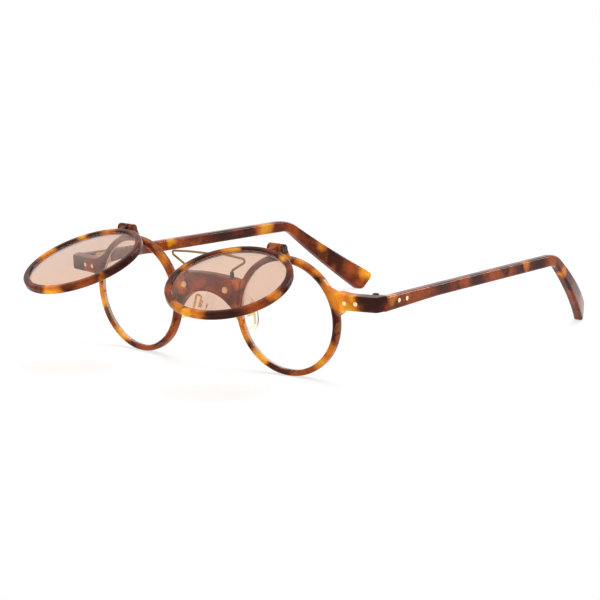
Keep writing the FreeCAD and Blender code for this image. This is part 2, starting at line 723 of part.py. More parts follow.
def rivet(name, length):
    """A plain shank along Z with a low domed head, its face at height zero."""
    radius = "sizes.rivet_radius"
    outline = [("0", "-sizes.rivet_dome"), (radius, "0"), (radius, length), ("0", length)]
    return turned(name, outline, domes=(0,))


def bridge_rivet():
    """A shank through the bridge, with a round head in front."""
    radius = "sizes.rivet_radius"
    head = "sizes.bridge_rivet_radius"
    length = "sizes.bridge_depth"
    outline = [("0", "-sizes.bridge_rivet_dome"), (head, "0"), (radius, "0"), (radius, length), ("0", length)]
    return turned("bridge_rivet", outline, domes=(0,))


def screw(name, radius, length, head_radius, head):
    """A slotted screw along Z, the top of its head at height zero and its end at its length."""
    outline = [("0", "0"), (head_radius, "0"), (head_radius, head), (radius, head),
               (radius, length), ("0", length)]
    slot = bound("Part::Box", name + "_slot", Length=head_radius + " * 4",
                 Width=head_radius + " * sizes.slot_width_share",
                 Height=head + " * sizes.slot_depth_share * 2",
                 Placement_Base_x="-" + head_radius + " * 2",
                 Placement_Base_y="-" + head_radius + " * sizes.slot_width_share / 2",
                 Placement_Base_z="-" + head + " * sizes.slot_depth_share")
    return joined("Part::Cut", name, turned(name + "_blank", outline), slot)


# Nose pads and their arms


def pad_frame():
    """Pad's own frame: X away from the nose, Y backwards along its width, Z up its height."""
    width = V(sine(z.pad_splay_angle), cosine(z.pad_splay_angle), 0)
    up = V(-sine(z.pad_frontal_angle), 0, cosine(z.pad_frontal_angle))
    out = width.cross(up).normalize()
    middle = V(z.bridge_span / 2 - z.pad_inset, z.pad_set, -z.pad_drop)
    return Placement(middle, Rotation(out, width, out.cross(width), "ZXY"))


def nose_pad():
    """An oval with a flat back and a domed face, and on its back a tongue bored for the pad screw."""
    rise = "(sizes.pad_thickness * sizes.pad_dome_share)"
    wall = "sizes.pad_thickness * (1 - sizes.pad_dome_share)"
    across = "(sizes.pad_width^2 / 4 + " + rise + "^2) / (2 * " + rise + ")"
    around = "(sizes.pad_height^2 - sizes.pad_width^2) / (8 * " + rise + ")"
    oval = bound("Part::Ellipse", "pad_oval", MajorRadius="sizes.pad_height / 2",
                 MinorRadius="sizes.pad_width / 2")
    oval.Placement.Rotation = Rotation(Y_AXIS, -90)
    slab = bound("Part::Extrusion", "pad_slab", LengthFwd="sizes.pad_thickness")
    slab.Base = oval
    slab.DirMode = "Custom"
    slab.Dir = X_AXIS * -1
    slab.Solid = True
    crown = bound("Part::Torus", "pad_crown", Radius1=around, Radius2=across,
                  Placement_Base_x=around + " + " + across + " - sizes.pad_thickness")
    crown.Placement.Rotation = Rotation(X_AXIS, 90)
    tongue = bound("Part::Box", "pad_tongue", Length="sizes.boss_reach + " + wall, Width="sizes.boss_width",
                   Height="sizes.boss_height", Placement_Base_x="-" + wall,
                   Placement_Base_y="-sizes.boss_width / 2", Placement_Base_z="-sizes.boss_height / 2")
    bore = bound("Part::Cylinder", "pad_bore", Radius="sizes.pad_screw_radius + sizes.pad_screw_play",
                 Height="sizes.pad_width", Placement_Base_x="(sizes.box_lift + sizes.boss_reach) / 2",
                 Placement_Base_y="sizes.pad_width / 2")
    bore.Placement.Rotation = Rotation(X_AXIS, 90)
    cushion = joined("Part::Common", "pad_cushion", slab, crown)
    whole = joined("Part::Fuse", "pad_whole", cushion, tongue)
    return joined("Part::Cut", "nose_pad", whole, bore)


def pad_pivot():
    return V((z.box_lift + z.boss_reach) / 2, 0, 0)


def box_half():
    return (z.boss_width + z.box_clear) / 2 + z.box_wall


def pad_box():
    """The box on the arm's end: open above and below, and towards the pad."""
    inner = z.boss_width + z.box_clear
    reach = z.boss_reach + z.box_clear - z.box_lift
    half = z.boss_height / 2
    box = Part.makeBox(reach + z.box_wall, box_half() * 2, z.boss_height, V(z.box_lift, -box_half(), -half))
    room_low = V(z.box_lift, -inner / 2, -half - z.overrun)
    room = Part.makeBox(reach, inner, z.boss_height + z.overrun * 2, room_low)
    across = V(0, z.pad_width, 0)
    bore = hole(pad_pivot() - across, pad_pivot() + across, z.pad_screw_radius, z.seat_play)
    return box.cut([room, bore])


def arm_foot(behind):
    """A point on the axis of a pad arm's peg, at a distance behind the back of the rim."""
    reach = z.rim_radius - z.rim_wall / 2
    across = -reach * cosine(z.arm_foot_angle)
    return EYE.multVec(V(across, z.rim_depth + behind, -reach * sine(z.arm_foot_angle)))


def arm_solid(frame):
    """A peg in the back of the rim, a wire that rises and loops over, and the box for the pad's tongue."""
    box_back = z.boss_reach + z.box_clear + z.box_wall
    start = arm_foot(-z.arm_peg)
    knee = arm_foot(z.arm_back)
    loop_out = frame.multVec(V(box_back + z.arm_bend * 2 + z.arm_loop, 0, z.arm_rise))
    loop_in = frame.multVec(V(box_back, 0, z.arm_rise))
    finish = frame.multVec(V(box_back, 0, 0))
    path = rounded([start, knee, loop_out, loop_in, finish], [0] + [z.arm_bend] * 3 + [0], closed=False)
    section = Part.Wire(Part.Circle(start, knee - start, z.arm_radius).toShape())
    wire = Part.Wire(path).makePipeShell([section], True, False)
    return placed(pad_box(), frame).fuse(wire).removeSplitter()


# Brow wire


def brow_wire_solid():
    """An open trapezoid of bent wire with an arched crossbar, its feet in the bridge."""
    corner_x = wire_foot_x + z.wire_corner_out
    corner_z = wire_foot.z + z.wire_corner_rise
    knee_share = 1 / 2
    knee_z = corner_z + z.wire_crown * (1 - knee_share**2)
    half = [(wire_foot_x, wire_foot.z - z.wire_foot_depth), (wire_foot_x, wire_foot.z + z.wire_stand),
            (corner_x, corner_z), (corner_x * knee_share, knee_z)]
    other = [(-x, height) for x, height in reversed(half)]
    radii = [0, z.wire_foot_bend, z.wire_corner_bend, corner_x]
    points = flat(half + [(0, corner_z + z.wire_crown)] + other)
    edges = rounded(points, radii + [corner_x] + radii[::-1], closed=False)
    spine = placed(Part.Wire(edges), Placement(V(0, wire_foot.y, 0), FRONT_VIEW.Rotation))
    start = wire_foot - V(0, 0, z.wire_foot_depth)
    section = Part.Wire(Part.Circle(start, Z_AXIS, z.wire_radius).toShape())
    return spine.makePipeShell([section], True, True)


# Pieces

FRONT, FLIP, TEMPLE = "front", "flip", "temple"
pieces = []


def piece(part, label, group, place=Placement()):
    part.Label = label
    part.Placement = place
    pieces.append((part, label, group))


end_rivets = [end_rivet_place(index) for index in range(2)]
temple_rivets = [temple_rivet_place(index) for index in range(2)]
end_holes = [rivet_hole(place) for place in end_rivets]
temple_holes = [rivet_hole(place) for place in temple_rivets]
sleeve_low = wire_foot - V(0, 0, z.ferrule_seat)
foot_low = wire_foot - V(0, 0, z.wire_foot_depth + z.seat_play)
above_foot = wire_foot + V(0, 0, z.overrun)
front_cutters = end_holes + [
    placed(leaf_seat(front_leaf_plan()), LEVEL),
    hole(on_axis(-fork_half - z.overrun), on_axis(fork_half + z.overrun), z.pin_radius, z.seat_play),
    hole(on_axis(fork_half - z.pin_head), on_axis(fork_half + z.overrun), z.pin_head_radius, z.seat_play),
    hole(foot_low, above_foot, z.wire_radius, z.seat_play),
    hole(sleeve_low, above_foot, z.ferrule_radius, z.seat_play),
    rivet_hole(Placement(rivet_point, TURN_BACK)),
    hole(arm_foot(-z.arm_peg - z.seat_play), arm_foot(z.overrun), z.arm_radius, z.seat_play),
]
front = front_solid(front_cutters)
piece(feature("front_frame", front), "front_frame", FRONT)
rim_mouth = "(sizes.rim_radius - sizes.rim_wall)"
clear_lens = lens("clear_lens", rim_mouth, "sizes.lens_thickness", "sizes.lens_curve")
piece(clear_lens, "left_clear_lens", FRONT, EYE.multiply(Placement(V(0, z.rim_depth / 2, 0), TURN_BACK)))
flip_mouth = "(sizes.rim_radius + sizes.flip_overhang - sizes.flip_wall)"
sun_lens = lens("sun_lens", flip_mouth, "sizes.sun_thickness", "sizes.sun_curve")
piece(sun_lens, "left_sun_lens", FLIP, CLOSED_RING.multiply(Placement(ORIGIN, TURN_BACK)))
piece(feature("flip_ring", flip_solid()), "left_flip_ring", FLIP)
fork_width = "(sizes.tongue_width + 2 * sizes.lug_gap + 2 * sizes.lug_width)"
flip_screw = screw("flip_screw", "sizes.pin_radius", fork_width, "sizes.pin_head_radius", "sizes.pin_head")
piece(flip_screw, "left_flip_screw", FRONT, Placement(on_axis(fork_half), Rotation(Y_AXIS, -90)))

level_end_holes = [placed(cutter, LEAN) for cutter in end_holes]
front_leaf = leaf_solid(front_leaf_plan(), 0, level_end_holes)
piece(feature("front_hinge_leaf", front_leaf), "left_front_hinge_leaf", TEMPLE)
temple_leaf = leaf_solid(temple_leaf_plan(), 1, temple_holes)
piece(feature("temple_hinge_leaf", temple_leaf), "left_temple_hinge_leaf", TEMPLE)
screw_length = "(sizes.temple_height - 2 * sizes.leaf_margin + sizes.screw_head)"
hinge_screw = screw("hinge_screw", "sizes.screw_radius", screw_length,
                    "sizes.screw_head_radius", "sizes.screw_head")
screw_top = V(barrel_x, barrel_y, hinge_low + barrel_height + z.screw_head)
piece(hinge_screw, "left_hinge_screw", TEMPLE, Placement(screw_top, Rotation(X_AXIS, 180)))
floor = placed(front, LEAN).optimalBoundingBox(False).ZMin
temple = temple_solid(floor, temple_holes + [leaf_seat(temple_leaf_plan())])
piece(feature("temple", temple), "left_temple", TEMPLE)
for where, place in zip(("front", "rear"), temple_rivets):
    temple_rivet = rivet("temple_rivet_" + where, "(sizes.temple_thickness - sizes.rivet_short)")
    piece(temple_rivet, "left_temple_rivet_" + where, TEMPLE, place)
for where, place in zip(("inner", "outer"), end_rivets):
    end_rivet = rivet("end_rivet_" + where, "(sizes.end_depth - sizes.rivet_short)")
    piece(end_rivet, "left_end_rivet_" + where, FRONT, place)

piece(bridge_rivet(), "left_bridge_rivet", FRONT, Placement(rivet_point, TURN_BACK))
piece(feature("brow_wire", brow_wire_solid()), "brow_wire", FRONT)
sleeve_bore = "(sizes.wire_radius + sizes.seat_play)"
sleeve_top = "(sizes.ferrule_seat + sizes.ferrule_height)"
sleeve = [(sleeve_bore, "sizes.seat_play"), ("sizes.ferrule_radius", "sizes.seat_play"),
          ("sizes.ferrule_radius", sleeve_top), (sleeve_bore, sleeve_top)]
ferrule = turned("wire_ferrule", sleeve)
piece(ferrule, "left_wire_ferrule", FRONT, Placement(sleeve_low, Rotation()))

PAD = pad_frame()
piece(nose_pad(), "left_nose_pad", FRONT, PAD)
piece(feature("pad_arm", arm_solid(PAD)), "left_pad_arm", FRONT)
box_width = "(sizes.boss_width + sizes.box_clear + 2 * sizes.box_wall + sizes.pad_screw_head)"
pad_screw = screw("pad_screw", "sizes.pad_screw_radius", box_width,
                  "sizes.pad_screw_head_radius", "sizes.pad_screw_head")
screw_face = pad_pivot() + V(0, box_half() + z.pad_screw_head, 0)
piece(pad_screw, "left_pad_screw", FRONT, PAD.multiply(Placement(screw_face, Rotation(X_AXIS, 90))))
doc.recompute()

# Stand the pieces up: the front leans, the rings are open, and the origin lies on the floor under the middle
OPEN = Placement(ORIGIN, Rotation(X_AXIS, -z.flip_open_angle), on_axis(0))
STANCE = {FRONT: LEAN, FLIP: LEAN.multiply(OPEN), TEMPLE: Placement()}
for part, label, group in pieces:
    part.Placement = STANCE[group].multiply(part.Placement)
doc.recompute()
box = FreeCAD.BoundBox()
for part, label, group in pieces:
    box.add(part.Shape.optimalBoundingBox(False))
FLOOR = Placement(V(0, -(box.YMin + box.YMax) / 2, -box.ZMin), Rotation())
for part, label, group in pieces:
    part.Placement = FLOOR.multiply(part.Placement)

# The wearer's right side mirrors the left
for part, label, group in list(pieces):
    if label.startswith("left_"):
        mirrored = doc.addObject("Part::Mirroring", part.Name + "_mirrored")
        mirrored.Source = part
        mirrored.Normal = X_AXIS
        piece(mirrored, label.replace("left_", "right_"), group)
doc.recompute()

for thing in doc.Objects:
    if "Invalid" in thing.State or "Error" in thing.State:
        raise RuntimeError("%s did not build" % thing.Label)
for part, label, group in pieces:
    if part.Shape.isNull() or not part.Shape.isValid() or len(part.Shape.Solids) != 1:
        raise RuntimeError("%s has no valid shape" % label)

os.makedirs("parts", exist_ok=True)
for part, label, group in pieces:
    part.Shape.exportStep("parts/%s.step" % label)
    print("%-26s %9.2f mm3" % (label, part.Shape.Volume))
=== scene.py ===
import bmesh
import bpy
from bpy.props import FloatProperty, FloatVectorProperty, PointerProperty
from mathutils import Matrix, Vector


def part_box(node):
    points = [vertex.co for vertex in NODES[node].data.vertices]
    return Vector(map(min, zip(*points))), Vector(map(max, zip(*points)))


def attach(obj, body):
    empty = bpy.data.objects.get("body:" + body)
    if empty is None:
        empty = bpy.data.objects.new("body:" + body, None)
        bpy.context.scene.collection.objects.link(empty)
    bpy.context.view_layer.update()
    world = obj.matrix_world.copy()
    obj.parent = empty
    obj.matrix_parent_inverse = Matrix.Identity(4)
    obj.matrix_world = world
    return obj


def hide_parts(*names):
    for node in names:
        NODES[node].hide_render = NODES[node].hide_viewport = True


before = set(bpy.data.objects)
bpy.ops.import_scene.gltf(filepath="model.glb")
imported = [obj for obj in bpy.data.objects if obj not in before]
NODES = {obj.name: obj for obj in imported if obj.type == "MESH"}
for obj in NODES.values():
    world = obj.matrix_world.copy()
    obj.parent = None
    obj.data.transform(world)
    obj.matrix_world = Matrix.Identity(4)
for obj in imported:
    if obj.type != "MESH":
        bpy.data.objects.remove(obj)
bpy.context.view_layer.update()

bl_info = {
    "name": "Flip-up round spectacles",
    "version": (1, 0, 0),
    "blender": (4, 5, 0),
    "location": "View3D > Sidebar > Spectacles",
    "description": "Tortoiseshell finish, lenses, metal fittings and a studio stage for round flip-up spectacles",
    "category": "Object",
}

SIDES = ("left", "right")
MM = 0.001

# Corners nearer than the first, in metres, are joined. Edges with more than the second, in radians, stay sharp.
JOIN = 0.000002
CREASE = 0.5

# Radii of the inner and outer walls of the rims, in metres.
RIM_WALLS = (0.0183, 0.0206)

# Spans over which the painted glow on the walls goes from none to full, in half widths of the rim from its middle.
# The walls' lighter tint is painted reflection and painted light through the sheet. The first span goes outwards,
# and the second comes inwards from beyond the rim.
PAINTED_GLOW_RISE = (0.60, 0.98)
PAINTED_GLOW_FALL = (2.2, 1.4)

# Noises of the sheet: waves to one grain, and the noise's own values.
DRIFT = (1.8, {"Detail": 1.5})
CLOUDS = (1.0, {"Detail": 2.0, "Roughness": 0.45, "Distortion": 0.35})
FINE = (3.0, {"Detail": 1.0})

# How far the fine noise swings the tint and the polish.
TINT_SWING = (0.88, 1.18)
POLISH_SWING = (0.6, 1.6)

PAD_ROUGHNESS = 0.06

# Plated metals: name of the tint, roughness, size of the worn spots in metres, and share of metal.
PLATINGS = {
    "gold": ("gold", 0.34, 0.0006, 0.7),
    "dark_gold": ("wire", 0.25, 0.0008, 1.0),
    "hinge_metal": ("hinge", 0.28, 0.0008, 1.0),
    "dark_screw": ("screw", 0.30, 0.0005, 1.0),
}
WORN_SPOTS = {"Detail": 4.0, "Roughness": 0.6}

# How many times more a worn spot dulls the metal than it polishes it elsewhere.
DULLING = 4

# The floor: how far it lies below the spectacles, in metres, the corners of its edge, and the share of the shadow's
# reach within which the shadow is full.
FLOOR_DROP = 0.00005
FLOOR_CORNERS = 96
SHADOW_FULL = 0.5

# Where a closed ring dips below the floor: depth and height of the middle, and half lengths of the area, in metres.
# The last is the share of the half lengths within which the floor is quite clear.
RING_FOOT = (-0.0595, 0.0)
RING_FOOT_SIZE = (0.017, 0.0070, 1.0)
RING_FOOT_CLEAR = 0.8

# Lamps: name, name of the power, size, place, aim, and whether the lamp shows in polish instead of lighting.
LAMPS = [
    ("key_lamp", "key", (1.0, 0.5), (0.10, 0.15, 1.30), (0.0, -0.02, 0.0), False),
    ("strip_lamp", "strip", (0.6, 0.30), (0.52, 1.05, 0.74), (0.0, 0.0, 0.02), True),
    ("fill_lamp", "fill", (1.0, 1.0), (-0.35, -1.45, 0.75), (0.0, -0.05, 0.02), False),
]

# The camera: place, directions of its right and upper side, sensor in millimetres, and nearest and farthest sight.
CAMERA_PLACE = (0.573218, -0.703969, 0.180241)
CAMERA_RIGHT = (0.77334, 0.63399, 0.00222)
CAMERA_UP = (-0.11533, 0.13724, 0.98380)
SENSOR_WIDTH = 36.0
SIGHT = (0.05, 50.0)

# Grounds of the sheet: where each tint stands on the scale of the clouds, the two ends first.
FRONT_GROUND = [(0.34, "dark"), (0.86, "amber"), (0.48, "brown"), (0.62, "rust")]
RING_GROUND = [(0.42, "dark"), (0.92, "amber"), (0.56, "brown"), (0.70, "rust")]
TEMPLE_GROUND = [(0.36, "dark"), (1.00, "amber"), (0.52, "brown"), (0.72, "rust")]
SHEET_TINTS = ("dark", "brown", "rust", "amber", "honey")

# Tints of a patch, each with where it begins and where it is full, as shares of the patch's radius.
PATCH_LAYERS = {
    "dark": [("dark", 1.5, 0.4)],
    "rust": [("rust", 1.7, 0.2)],
    "amber": [("amber", 1.5, 0.3)],
    "honey": [("amber", 1.9, 0.9), ("honey", 1.3, 0.4)],
}

# Patches of the acetate sheet: tint, middle in millimetres, radius in millimetres.
FRONT_PATCHES = [
    ("amber", (14.1, -54.7, 16.6), 4.0),
    ("amber", (15.3, -53.7, 12.1), 3.6),
    ("dark", (18.8, -53.2, 7.3), 2.6),
    ("honey", (22.8, -52.8, 5.0), 2.8),
    ("dark", (27.2, -52.2, 2.7), 3.0),
    ("dark", (31.6, -51.7, 1.2), 3.4),
    ("rust", (38.6, -50.7, 0.9), 3.4),
    ("honey", (46.7, -50.7, 5.8), 2.6),
    ("amber", (50.2, -50.8, 11.0), 3.0),
    ("dark", (52.6, -51.3, 19.8), 3.0),
    ("honey", (54.8, -51.9, 29.8), 3.4),
    ("amber", (57.2, -50.2, 27.6), 4.6),
    ("honey", (58.2, -50.2, 25.0), 2.6),
    ("honey", (59.6, -50.6, 30.4), 1.6),
    ("dark", (64.9, -50.2, 28.1), 2.9),
    ("dark", (68.0, -48.8, 28.5), 3.4),
    ("dark", (53.4, -51.9, 23.4), 2.2),
    ("dark", (52.2, -51.9, 14.6), 2.4),
    ("dark", (48.0, -52.2, 34.6), 2.4),
    ("dark", (-21.0, -53.6, 6.6), 2.6),
    ("dark", (-14.4, -54.6, 13.6), 2.6),
    ("dark", (44.6, -60.0, 42.4), 2.4),
    ("dark", (29.4, -57.5, 44.3), 3.0),
    ("dark", (37.8, -57.5, 44.3), 3.0),
    ("dark", (68.4, -45.9, 29.2), 2.4),
    ("amber", (51.3, -50.8, 32.6), 2.6),
    ("amber", (46.3, -51.4, 36.8), 2.4),
    ("amber", (40.4, -53.5, 39.8), 2.4),
    ("honey", (35.5, -55.9, 40.6), 1.6),
    ("amber", (15.1, -56.1, 29.6), 2.4),
    ("amber", (-11.0, -55.8, 26.2), 2.6),
    ("amber", (-52.5, -51.2, 18.7), 3.6),
    ("honey", (-52.2, -50.9, 15.1), 2.0),
    ("dark", (-50.0, -50.8, 10.6), 3.0),
    ("honey", (-43.2, -50.8, 4.3), 2.8),
    ("dark", (-37.7, -51.1, 1.4), 2.6),
    ("rust", (-30.2, -51.5, 0.7), 4.0),
    ("rust", (-17.4, -52.9, 8.2), 4.0),
    ("amber", (-19.5, -55.0, 34.9), 2.4),
    ("dark", (-64.4, -49.9, 28.1), 4.0),
    ("dark", (-68.4, -48.4, 25.8), 4.0),
]
RING_PATCHES = {
    "left": [
        ("amber", (21.1, -67.1, 43.8), 3.0),
        ("honey", (23.3, -66.1, 43.9), 1.4),
        ("amber", (13.6, -80.1, 37.6), 3.2),
        ("rust", (17.1, -93.3, 33.8), 2.4),
        ("amber", (27.1, -100.0, 30.0), 2.6),
        ("honey", (32.0, -100.7, 28.4), 2.0),
        ("amber", (37.2, -99.9, 27.6), 3.2),
        ("dark", (42.0, -98.1, 27.6), 4.0),
        ("dark", (47.3, -94.5, 28.4), 5.0),
        ("rust", (51.5, -89.7, 30.8), 4.0),
        ("amber", (53.4, -82.5, 34.5), 2.4),
        ("dark", (53.2, -74.7, 37.1), 3.4),
        ("honey", (42.3, -65.2, 42.5), 1.8),
        ("dark", (28.8, -62.9, 44.8), 4.0),
    ],
    "right": [
        ("amber", (-52.1, -78.2, 34.8), 3.4),
        ("honey", (-52.0, -76.4, 35.6), 1.6),
        ("honey", (-45.6, -67.1, 40.4), 2.0),
        ("amber", (-37.8, -63.1, 42.5), 3.0),
        ("dark", (-49.7, -71.7, 38.1), 3.4),
        ("dark", (-45.1, -95.0, 30.4), 4.0),
        ("amber", (-27.9, -99.8, 27.9), 3.4),
        ("honey", (-29.4, -100.3, 28.1), 1.6),
        ("rust", (-18.5, -94.7, 30.2), 4.0),
        ("amber", (-14.5, -89.8, 32.5), 1.8),
        ("dark", (-12.3, -84.5, 34.9), 4.0),
        ("dark", (-42.3, -65.0, 41.5), 2.4),
    ],
}
TEMPLE_PATCHES = {
    "left": [
        ("honey", (68.4, -41.7, 30.3), 2.0),
        ("amber", (70.0, -40.5, 28.7), 2.4),
        ("rust", (69.7, -34.6, 28.5), 3.0),
        ("rust", (69.2, -25.1, 28.8), 4.0),
        ("dark", (68.4, -10.6, 28.8), 4.0),
        ("rust", (68.9, -19.7, 29.7), 2.6),
        ("rust", (67.7, 1.9, 29.1), 3.0),
        ("dark", (67.3, 10.2, 28.3), 4.0),
        ("rust", (66.7, 21.1, 29.2), 3.4),
        ("rust", (66.1, 32.3, 28.8), 2.4),
        ("amber", (65.6, 41.7, 29.3), 2.4),
        ("dark", (65.1, 51.3, 28.4), 4.0),
        ("rust", (64.6, 59.0, 28.0), 2.6),
        ("amber", (63.1, 69.9, 22.8), 2.6),
        ("dark", (61.7, 75.5, 17.1), 4.0),
        ("rust", (56.6, 91.5, 9.1), 3.0),
    ],
    "right": [
        ("honey", (-61.6, 50.2, 28.5), 2.8),
        ("honey", (-64.6, -0.6, 30.1), 1.8),
        ("rust", (-64.1, 3.9, 28.8), 3.0),
        ("rust", (-61.0, 65.3, 24.8), 4.0),
        ("dark", (-62.8, 27.4, 28.8), 6.0),
        ("amber", (-57.4, 79.5, 19.5), 2.8),
        ("dark", (-54.8, 86.5, 13.7), 4.0),
        ("rust", (-52.2, 92.8, 8.7), 3.4),
        ("rust", (-50.8, 96.2, 2.6), 2.6),
        ("honey", (-49.7, 98.7, 6.8), 2.7),
    ],
}


class AcetateSettings(bpy.types.PropertyGroup):
    """Tints and grain of the tortoiseshell sheet"""

    dark: FloatVectorProperty(
        name="Dark", description="Darkest brown of the sheet", subtype="COLOR", default=(0.048, 0.008, 0.003))
    brown: FloatVectorProperty(
        name="Brown", description="Red brown ground of the sheet", subtype="COLOR", default=(0.165, 0.026, 0.006))
    rust: FloatVectorProperty(
        name="Rust", description="Lighter red brown", subtype="COLOR", default=(0.400, 0.080, 0.013))
    amber: FloatVectorProperty(
        name="Amber", description="Orange patches", subtype="COLOR", default=(0.860, 0.270, 0.015))
    honey: FloatVectorProperty(
        name="Honey", description="Yellow patches", subtype="COLOR", default=(1.000, 0.500, 0.025))
    # Lighter orange tint painted on the rims' walls: a painted glow, standing in for reflection and light through
    # the sheet.
    painted_wall_glow: FloatVectorProperty(
        name="Wall", description="Walls of the rims, which glow", subtype="COLOR", default=(0.720, 0.270, 0.080))
    # How strongly the painted glow lies on the rims' walls.
    painted_glow_share: FloatProperty(
        name="Wall share", description="How far the walls take their own tint", subtype="FACTOR", default=0.25)
    grain: FloatProperty(
        name="Grain", description="Size of the sheet's own clouds", unit="LENGTH", default=0.008)
    feather: FloatProperty(
        name="Feather", description="How far a patch's edge wanders", unit="LENGTH", default=0.0030)
    polish: FloatProperty(
        name="Polish", description="Roughness of the tumbled surface", subtype="FACTOR", default=0.035)
    index: FloatProperty(name="Index", description="Refractive index of the sheet", default=1.22)
    depth: FloatProperty(
        name="Depth", description="Share of the light that passes through the sheet", subtype="FACTOR",
        default=0.55)


class LensSettings(bpy.types.PropertyGroup):
    """Tints of the lenses and pads"""

    sun: FloatVectorProperty(
        name="Sun lens", description="Light that one sun lens lets through", subtype="COLOR",
        default=(0.715, 0.49, 0.375))
    clear: FloatVectorProperty(
        name="Clear lens", description="Light that one clear lens lets through", subtype="COLOR",
        default=(0.985, 0.985, 0.985))
    pad: FloatVectorProperty(
        name="Pad", description="Clear plastic of the nose pads", subtype="COLOR", default=(0.94, 0.95, 0.95))
    index: FloatProperty(name="Index", description="Refractive index of the clear lenses", default=1.5)
    sun_index: FloatProperty(name="Sun index", description="Refractive index of the thin sun lenses", default=1.3)
    pad_index: FloatProperty(name="Pad index", description="Refractive index of the soft pads", default=1.15)


class MetalSettings(bpy.types.PropertyGroup):
    """Tints of the metal fittings"""

    gold: FloatVectorProperty(
        name="Gold", description="Rivets and pad arms", subtype="COLOR", default=(1.00, 0.78, 0.42))
    wire: FloatVectorProperty(
        name="Wire", description="Brow wire", subtype="COLOR", default=(0.36, 0.21, 0.08))
    hinge: FloatVectorProperty(
        name="Hinge", description="Hinge leaves", subtype="COLOR", default=(0.60, 0.50, 0.36))
    screw: FloatVectorProperty(
        name="Screw", description="Screws and sleeves", subtype="COLOR", default=(0.10, 0.085, 0.075))
    wear: FloatProperty(
        name="Wear", description="Unevenness of the plating's shine", subtype="FACTOR", default=0.12)


class StageSettings(bpy.types.PropertyGroup):
    """Floor, lamps and camera"""

    floor: FloatVectorProperty(
        name="Floor", description="Pale floor", subtype="COLOR", default=(0.93, 0.91, 0.90))
    floor_reach: FloatProperty(
        name="Floor reach", description="Radius of the floor", unit="LENGTH", default=9.0)
    shadow_reach: FloatProperty(
        name="Shadow reach", description="Radius within which the floor takes a shadow", unit="LENGTH",
        default=0.30)
    shadow: FloatProperty(
        name="Shadow", description="Share of the floor's light that a shadow takes", subtype="FACTOR",
        default=0.32)
    ambient: FloatProperty(name="Ambient", description="Light from all round", default=0.80)
    key: FloatProperty(name="Key lamp", description="Lamp overhead", subtype="POWER", default=11.0)
    strip: FloatProperty(
        name="Strip lamp", description="Long lamp behind, seen in polish alone", subtype="POWER", default=6.5)
    fill: FloatProperty(name="Fill lamp", description="Large lamp in front", subtype="POWER", default=10.0)
    lens: FloatProperty(name="Focal length", description="Camera lens in millimetres", default=154.70)


class SpectaclesSettings(bpy.types.PropertyGroup):
    """All settings of the spectacles"""

    acetate: PointerProperty(type=AcetateSettings)
    lenses: PointerProperty(type=LensSettings)
    metal: PointerProperty(type=MetalSettings)
    stage: PointerProperty(type=StageSettings)


# Small helpers


def settings():
    return bpy.context.scene.spectacles


def opaque(colour):
    return (*colour, 1.0)


def pairs(*names):
    return [side + "_" + name for side in SIDES for name in names]


def lens_middle(side):
    """The middle of the clear lens on one side."""
    low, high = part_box(side + "_clear_lens")
    return (low + high) / 2


def give(material, *names):
    """Sets the only material of some CAD nodes."""
    for name in names:
        if name not in NODES:
            raise RuntimeError("no piece named " + name)
        mesh = NODES[name].data
        mesh.materials.clear()
        mesh.materials.append(material)


def smooth_piece(node, body, material):
    """A piece in the shape of a CAD node, with its triangles joined and its curved faces shaded smooth."""
    work = bmesh.new()
    work.from_mesh(NODES[node].data)
    bmesh.ops.remove_doubles(work, verts=work.verts, dist=JOIN)
    bmesh.ops.dissolve_degenerate(work, edges=work.edges, dist=JOIN)
    bmesh.ops.recalc_face_normals(work, faces=work.faces)
    for face in work.faces:
        face.smooth = True
    for edge in work.edges:
        edge.smooth = edge.calc_face_angle(0.0) < CREASE
    mesh = bpy.data.meshes.new(node + "_clear")
    work.to_mesh(mesh)
    work.free()
    # The loose triangles' own normals no longer fit the joined mesh.
    stale = mesh.attributes.get("custom_normal")
    if stale:
        mesh.attributes.remove(stale)
    mesh.materials.append(material)
    piece = bpy.data.objects.new(node + "_clear", mesh)
    bpy.context.scene.collection.objects.link(piece)
    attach(piece, body)
    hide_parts(node)


# Shader helpers


def add_node(tree, kind, inputs=None, **attributes):
    """A shader node with its attributes and input values set."""
    node = tree.nodes.new(kind)
    for name, value in attributes.items():
        setattr(node, name, value)
    for name, value in (inputs or {}).items():
        node.inputs[name].default_value = value
    return node


def new_material(name):
    """A material with an empty node tree, and its output node."""
    material = bpy.data.materials.new(name)
    material.use_nodes = True
    tree = material.node_tree
    tree.nodes.clear()
    return material, tree, add_node(tree, "ShaderNodeOutputMaterial")


def object_place(tree):
    """The socket that gives a place on the piece."""
    return add_node(tree, "ShaderNodeTexCoord").outputs["Object"]


def noise(tree, place, scale, values):
    """A noise at a place, with so many waves to the metre."""
    node = add_node(tree, "ShaderNodeTexNoise", {"Scale": scale, **values})
    tree.links.new(place, node.inputs["Vector"])
    return node


def vector_step(tree, operation, start, inputs=None):
    """A sum on a vector socket, with its other values given."""
    node = add_node(tree, "ShaderNodeVectorMath", inputs, operation=operation)
    tree.links.new(start, node.inputs[0])
    return node


def spread(tree, value, low, high):
    """A value between 0 and 1, set between two others."""
    node = add_node(tree, "ShaderNodeMapRange", {"To Min": low, "To Max": high})
    tree.links.new(value, node.inputs["Value"])
    return node.outputs["Result"]


def fade(tree, value, start, full, top=1.0):
    """A soft step that leaves 0 where the value is at the start, and reaches its top where it is full."""
    node = add_node(tree, "ShaderNodeMapRange", {"From Min": start, "From Max": full, "To Max": top},
                    interpolation_type="SMOOTHSTEP")
    tree.links.new(value, node.inputs["Value"])
    return node.outputs["Result"]


def mix_colour(tree, factor, under, over):
    """Lays a colour over another by a factor socket."""
    mix = add_node(tree, "ShaderNodeMix", data_type="RGBA")
    tree.links.new(factor, mix.inputs["Factor"])
    tree.links.new(under, mix.inputs["A"])
    mix.inputs["B"].default_value = opaque(over)
    return mix.outputs["Result"]


